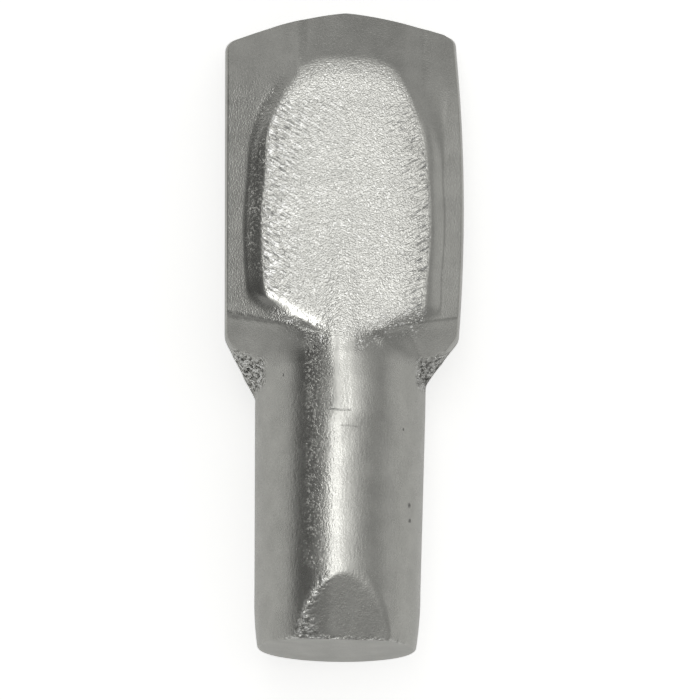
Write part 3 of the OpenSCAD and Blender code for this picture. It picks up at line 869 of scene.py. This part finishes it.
height = total(peen, times(fins, has["wrinkled"], CREASE), grain,
               times(grained(8.0, 2.0, 13.0), by_finish(CRUMBS)), times(specks, has["scuffed"], speck_height),
               times(die_marks, -MARK_DEPTH), times(pits, -PIT_DEPTH))
bump = new_node(metal, "ShaderNodeBump", {"Distance": MICROMETRE, "Height": height})
feed(shader.inputs["Normal"], bump.outputs[0])
print(f"grain of {PEEN['free_top']:.0f} and creases of {CREASE:.0f} micrometres on the tongue")

# %% [markdown]
# Plating is never quite even, so a stain moves the tint between a darker and a lighter
# steel. Painted light makes the tongue's top, its wrinkles, its ridge and the torn flanks
# lighter, painted shade darkens the skins of the painted-shade mask, and die marks are darker.

# %% Plated steel: tint, with painted light and shade
BASE_TINT, DARKER, LIGHTER, EVEN_STAIN, CLOUDS, SPECKLE = (0.522, 0.52, 0.493), 0.82, 1.2, 0.4, 1.1, 0.8
# painted light on the tongue's top, wrinkles, ridge and torn flanks; painted shade on the painted-shade mask
PAINTED_LIGHT_AND_SHADE, MARK_STAIN = {"free_top": 0.75, "wrinkled": 0.9, "ridge": 0.6, "torn": 0.8, "painted_shade": -1.2}, -0.8


def mixed(share, first, second):
    """One colour fading into another."""
    mixer = new_node(metal, "ShaderNodeMix", {"Factor": share, "A": first, "B": second}, data_type="RGBA")
    return mixer.outputs["Result"]


stain_and_painted_light = total(times(grained(1.6, 5.0, 17.0), CLOUDS), times(grained(22.0, 1.0, 19.0), SPECKLE),
              by_finish(PAINTED_LIGHT_AND_SHADE), times(die_marks, MARK_STAIN), EVEN_STAIN)
dark, light = [(*[c * share for c in BASE_TINT], 1) for share in (DARKER, LIGHTER)]
colour = mixed(stain_and_painted_light, dark, light)
print("tint", [round(c, 2) for c in BASE_TINT], "times", DARKER, "to", LIGHTER)

# %% [markdown]
# Broken metal glints, as its crystals face every way. Here the glints are painted: white
# flecks are painted glints and dark ones painted shade, on the torn and burred skin, the scarp,
# the creases of the wrinkles and the peened top, and painted shade fills the pits and the skins
# of the painted-shade mask.
# Each row below is one kind of fleck: a pattern, where it lies, how sharp it is, how rare
# it is and its shade. They are laid over the tint one after another.

# %% Plated steel: painted glints and shade
WARM = 0.98  # blue of a fleck, against its red and green
grains, peen_fleck_noise = grained(9.0, 2.0, 33.0, broken=0.6), grained(21.0, 1.0, 35.0)
left_fins = times(has["wrinkled"], number(metal, "LESS_THAN", across_mm, 0.0))
right_fins = times(has["wrinkled"], number(metal, "GREATER_THAN", across_mm, 0.0))
# the peened top gets white flecks of painted glints and darker specks
peen_glints_and_specks = times(has["free_top"], number(metal, "SUBTRACT", 1.0, times(has["wrinkled"], 0.7)))
broken_skin = by_finish({"torn": 1.0, "burr": 0.45})
# each row paints glints (white) or shade (dark) into the tint
PAINTED_GLINTS_AND_SHADE = (  # pattern, where, sharpness, start, shade
    (grains, broken_skin, 32.0, -0.1, 1.0), (grains, broken_skin, -20.0, -1.2, 0.05),
    (grains, has["scarp"], 30.0, -2.7, 1.0),
    (fins, left_fins, 40.0, -1.6, 1.0), (fins, left_fins, -16.0, -1.6, 0.3),
    (fins, right_fins, -18.0, -1.6, 0.3),
    (peen_fleck_noise, peen_glints_and_specks, 5.0, -0.2, 1.0), (peen_fleck_noise, peen_glints_and_specks, -5.0, -0.5, 0.4),
    (pits, 1.0, 0.8, 0.0, 0.08), (1.0, has["painted_shade"], 0.25, 0.0, 0.1))
for pattern, where, sharpness, start, shade in PAINTED_GLINTS_AND_SHADE:
    spots = capped(number(metal, "MULTIPLY_ADD", pattern, sharpness, start))
    colour = mixed(times(spots, where), colour, (shade, shade, shade * WARM, 1))
feed(shader.inputs["Base Color"], colour)
print(f"{len(PAINTED_GLINTS_AND_SHADE)} kinds of fleck, {len(metal.nodes)} nodes in the steel")

# %% [markdown]
# Geometry Nodes then lift and sink the skin itself: a wrinkle, a tear or a dent that the
# light can catch from any side has to be real relief. Each finish has its own height in
# millimetres, and one number turns the whole pattern into another pin of the same kind.

# %% Relief: named sizes
HEIGHTS = {"Peening": 0.003, "Wrinkles": 0.0065, "Torn": 0.14, "Scarp": 0.02, "Wire": 0.0018,
           "Burr": 0.02, "Handling": 0.004}
PATTERN = 4.0
relief = bpy.data.node_groups.new("forged_skin", "GeometryNodeTree")
relief.interface.new_socket("Geometry", in_out="INPUT", socket_type="NodeSocketGeometry")
relief.interface.new_socket("Geometry", in_out="OUTPUT", socket_type="NodeSocketGeometry")
settings = {}
for name, value in [*HEIGHTS.items(), ("Pattern", PATTERN), ("Metal", steel)]:
    kind = "NodeSocketMaterial" if name == "Metal" else "NodeSocketFloat"
    settings[relief.interface.new_socket(name, in_out="INPUT", socket_type=kind).identifier] = value
given = new_node(relief, "NodeGroupInput").outputs
print("inputs:", ", ".join(HEIGHTS), "+ Pattern, Metal")

# %% [markdown]
# The wrinkles are waves that run inward and back towards the peg from both edges, warped by
# a slow noise so that no two are alike. The other finishes are noises of their own scale,
# each times its mask and its height.

# %% Relief: the height of each finish
WAVE_SLANT, WAVES, WARP, UNEVEN = 0.55, 36.0, 9.0, 2.5
FINISH_NOISES = (  # size, mask, seed, bumps for each mm, detail, stretch
    ("Peening", "free_top", 23.0, 8.0, 2.0, (1, 1, 1)), ("Torn", "torn", 24.0, 5.0, 3.0, (1, 1, 1)),
    ("Scarp", "scarp", 25.0, 4.0, 2.0, (1, 1, 1)), ("Wire", "drawn", 26.0, 3.0, 2.0, (1, 0.25, 1)),
    ("Burr", "burr", 27.0, 5.0, 2.0, (1, 1, 1)))


def stored(name, kind="FLOAT"):
    reader = new_node(relief, "GeometryNodeInputNamedAttribute", {"Name": name}, data_type=kind)
    return reader.outputs["Attribute"]


def product(*factors):
    return chain(relief, "MULTIPLY", factors)


spot = stored("pin_mm", "FLOAT_VECTOR")
spot_across, spot_along, _ = new_node(relief, "ShaderNodeSeparateXYZ", {0: spot}).outputs
slanted = number(relief, "ADD", spot_along, product(number(relief, "ABSOLUTE", spot_across), -WAVE_SLANT))
warped = number(relief, "ADD", product(slanted, WAVES), product(noise(relief, spot, 2.6, 2.0, 21.0), WARP))
strength = number(relief, "ADD", product(noise(relief, spot, 2.6, 2.0, 22.0), UNEVEN), 0.5)
parts = [product(number(relief, "SINE", warped), stored("wrinkled"), strength, given["Wrinkles"])]
for name, mask, seed, scale, detail, stretch in FINISH_NOISES:
    parts.append(product(noise(relief, spot, scale, detail, seed, stretch), stored(mask), given[name]))
parts.append(product(noise(relief, spot, 0.9, 2.0, 28.0), given["Handling"]))
lift = chain(relief, "ADD", parts)
for node in list(relief.nodes):
    if node.bl_idname == "ShaderNodeTexNoise":
        own_seed = node.inputs["W"].default_value
        feed(node.inputs["W"], number(relief, "ADD", given["Pattern"], own_seed))
print(f"{len(parts)} finishes in relief")

# %% [markdown]
# The lift moves every point along its own normal. The tree ends by making instances real
# and by setting the metal, and the modifier gets its sizes by each input's identifier.

# %% Relief: move the skin
normal = new_node(relief, "GeometryNodeInputNormal").outputs[0]
outward = new_node(relief, "ShaderNodeVectorMath", {0: normal, "Scale": product(lift, MM)}, operation="SCALE")
moved = new_node(relief, "GeometryNodeSetPosition",
                 {"Geometry": given["Geometry"], "Offset": outward.outputs[0]})
realized = new_node(relief, "GeometryNodeRealizeInstances", {0: moved.outputs[0]})
coated = new_node(relief, "GeometryNodeSetMaterial",
                  {"Geometry": realized.outputs[0], "Material": given["Metal"]})
new_node(relief, "NodeGroupOutput", {0: coated.outputs[0]})
modifier = blank.modifiers.new("forged_skin", "NODES")
modifier.node_group = relief
for identifier, value in settings.items():
    modifier[identifier] = value
print(f"{len(relief.nodes)} nodes in the relief")

# %% [markdown]
# The evaluated pin becomes a plain mesh, so the finished piece has no live modifier. How far
# the relief moved the skin is worth a look: it is most in the tears.

# %% Turn the result into a plain mesh
evaluated = blank.evaluated_get(bpy.context.evaluated_depsgraph_get())
pin_mesh = bpy.data.meshes.new_from_object(evaluated)
pin_mesh.name = "forged_pin_skin"
bpy.data.objects.remove(blank)
pin = add_object("forged_pin", pin_mesh)
moved_by = np.empty(len(pin_mesh.vertices) * 3)
pin_mesh.vertices.foreach_get("co", moved_by)
moved_by = np.linalg.norm(moved_by.reshape(-1, 3) - in_frame(*pin_mm.T), axis=1) / MM
print(f"relief moves the skin by up to {moved_by.max() * 1000:.0f} micrometres")

# %% [markdown]
# The finished pin stands for the solid of the same size. It is one piece of metal, so it
# rides on the only body there is and takes its finish from the slot of the plated steel.

# %% Hand the finished pin to the frame
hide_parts("shelf_pin")
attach(pin, "root")
print(pin.name, "stands for the solid; its materials:", [m.name for m in pin_mesh.materials])

# %% [markdown]
# The table is a wide pale sheet. It takes soft shadows like any matt surface, and a little
# light of its own brings it near to white for the camera and in the metal.

# %% Table
TABLE_SIZE, GLOW_FOR_EYE, GLOW_IN_METAL = 1.2, 0.6, 0.16
half = TABLE_SIZE / 2
corners = [(-half, -half, 0), (half, -half, 0), (half, half, 0), (-half, half, 0)]
table_mesh = bpy.data.meshes.new("table")
table_mesh.from_pydata(corners, [], [(0, 1, 2, 3)])
table = add_object("table", table_mesh)
table_paint = bpy.data.materials.new("table_white")
table_paint.use_nodes = True
tree = table_paint.node_tree
rays = new_node(tree, "ShaderNodeLightPath").outputs
to_eye = number(tree, "MULTIPLY", rays["Is Camera Ray"], GLOW_FOR_EYE)
glow = number(tree, "MULTIPLY_ADD", rays["Is Glossy Ray"], GLOW_IN_METAL, to_eye)
for name, value in (("Base Color", (0.9, 0.9, 0.89, 1)), ("Roughness", 0.9),
                    ("Emission Color", (1, 1, 1, 1)), ("Emission Strength", glow)):
    feed(tree.nodes["Principled BSDF"].inputs[name], value)
table_mesh.materials.append(table_paint)
print(f"table of {TABLE_SIZE} m")

# %% [markdown]
# Steel shows its room, so the room is drawn with care. Two helpers fade one light into
# another, by how far the sky lies across, along or up.

# %% Helpers for the sky
world = bpy.data.worlds.new("studio")
bpy.context.scene.world = world
world.use_nodes = True
sky = world.node_tree
sky.nodes.clear()
facing = new_node(sky, "ShaderNodeTexCoord").outputs["Generated"]
across_sky, along_sky, up_sky = new_node(sky, "ShaderNodeSeparateXYZ", {0: facing}).outputs


def ramp(source, low, high, start, end):
    """A light that changes from start to end while the source goes from low to high."""
    inputs = {"Value": source, "From Min": low, "From Max": high, "To Min": start, "To Max": end}
    return new_node(sky, "ShaderNodeMapRange", inputs, interpolation_type="SMOOTHSTEP").outputs[0]


def blend_light(share, first, second):
    return new_node(sky, "ShaderNodeMix", {"Factor": share, "A": first, "B": second}).outputs[0]


print("the sky is read across, along and up")

# %% [markdown]
# Overhead, one curve says how bright the room is from left to right: a dark part on the left
# draws the shade along the left of the round peg. It fades into a darker part behind the
# peg, a plain part ahead of the tip and a light horizon all round.

# %% Room light
HORIZON, BEHIND, DARK_BEHIND, SIDE_BEHIND, FAR_BEHIND = 0.56, 0.34, 0.22, 0.45, 0.54
AHEAD, AHEAD_LEFT, AHEAD_MIDDLE = 0.46, 0.51, 0.31
ROOM = (  # how far to the side, from -1 to 1, and how bright
    (-0.98, 0.43), (-0.93, 0.29), (-0.84, 0.145), (-0.74, 0.08), (-0.53, 0.15), (-0.4, 0.185), (-0.34, 0.29),
    (-0.31, 0.33), (-0.15, 1.1), (0.07, 1.29), (0.21, 1.15), (0.34, 0.85), (0.485, 0.52), (0.68, 0.38),
    (0.8, 0.37), (0.9, 0.47), (0.97, 0.55))
to_side = new_node(sky, "ShaderNodeMapRange", {"Value": across_sky, "From Min": -1}).outputs[0]
room = new_node(sky, "ShaderNodeValToRGB", {0: to_side})
stops = room.color_ramp.elements
for to_the_side, bright in ROOM[1:-1]:
    stops.new((to_the_side + 1) / 2)
for stop, (to_the_side, bright) in zip(stops, ROOM):
    stop.position = (to_the_side + 1) / 2
    stop.color = (bright, bright, bright, 1)
dark_middle = ramp(number(sky, "ABSOLUTE", across_sky), 0.35, 0.65, DARK_BEHIND, SIDE_BEHIND)
dark_behind = ramp(along_sky, -0.25, -0.5, BEHIND, dark_middle)
far_behind = ramp(along_sky, -0.6, -0.8, dark_behind, FAR_BEHIND)
overhead = blend_light(ramp(along_sky, -0.12, 0.06, 0.0, 1.0), far_behind, room.outputs[0])
left_front = ramp(across_sky, -0.05, -0.3, AHEAD_MIDDLE, AHEAD_LEFT)
front = ramp(across_sky, 0.35, 0.55, left_front, AHEAD)
upper = blend_light(ramp(along_sky, 0.46, 0.66, 0.0, 1.0), overhead, front)
level = blend_light(ramp(up_sky, 0.42, 0.25, 0.0, 1.0), upper, HORIZON)
backdrop = new_node(sky, "ShaderNodeBackground", {"Color": (1, 1, 0.985, 1), "Strength": level})
new_node(sky, "ShaderNodeOutputWorld", {0: backdrop.outputs[0]})
print(f"{len(ROOM)} points of room light")

# %% [markdown]
# One softbox hangs almost overhead, a little towards the tip of the pin. It is a real lamp,
# not a patch of sky, so it throws a soft shadow. Its width and its place are angles seen
# from the pin, which is how a mirror of steel sees them.

# %% Softbox
BOX_DISTANCE, BOX_ACROSS, BOX_ALONG = 0.3, 10.0, 30.0
BOX_SIDE, BOX_AHEAD, BOX_POWER = -4.0, 15.0, 0.05
softbox = bpy.data.lights.new("softbox", "AREA")
softbox.shape = "RECTANGLE"
softbox.size = 2 * BOX_DISTANCE * tan(BOX_ACROSS / 2)
softbox.size_y = 2 * BOX_DISTANCE * tan(BOX_ALONG / 2)
softbox.energy = BOX_POWER
lamp = add_object("softbox", softbox)
to_lamp = Vector((tan(BOX_SIDE), tan(BOX_AHEAD), 1)).normalized()
lamp.location = to_lamp * BOX_DISTANCE
lamp.rotation_euler = to_lamp.to_track_quat("Z", "Y").to_euler()
print(f"softbox of {softbox.size * 100:.0f} x {softbox.size_y * 100:.0f} cm")

# %% [markdown]
# The camera looks straight down through a long lens, so that near and far parts keep one
# scale. The pin stands a touch askew in the picture.

# %% Camera
PICTURE, SENSOR, EYE_DISTANCE = 700, 36.0, 400.0
SCALE = 34.3  # pixels of the picture for each millimetre of the pin
AIM_ACROSS, AIM_AHEAD, AIM_ABOVE, ROLL = 0.254, 8.723, 3.0, 0.86
camera = bpy.data.cameras.new("camera")
camera.sensor_width = SENSOR
camera.lens = SCALE * SENSOR / PICTURE * (EYE_DISTANCE - AIM_ABOVE)
camera.clip_end = 10
eye = add_object("camera", camera)
eye.location = (AIM_ACROSS * MM, END_CENTRE[1] + AIM_AHEAD * MM, EYE_DISTANCE * MM)
eye.rotation_euler = (0, 0, math.radians(ROLL))
scene = bpy.context.scene
scene.camera = eye
scene.view_settings.view_transform = "Standard"
print(f"lens of {camera.lens:.0f} mm")
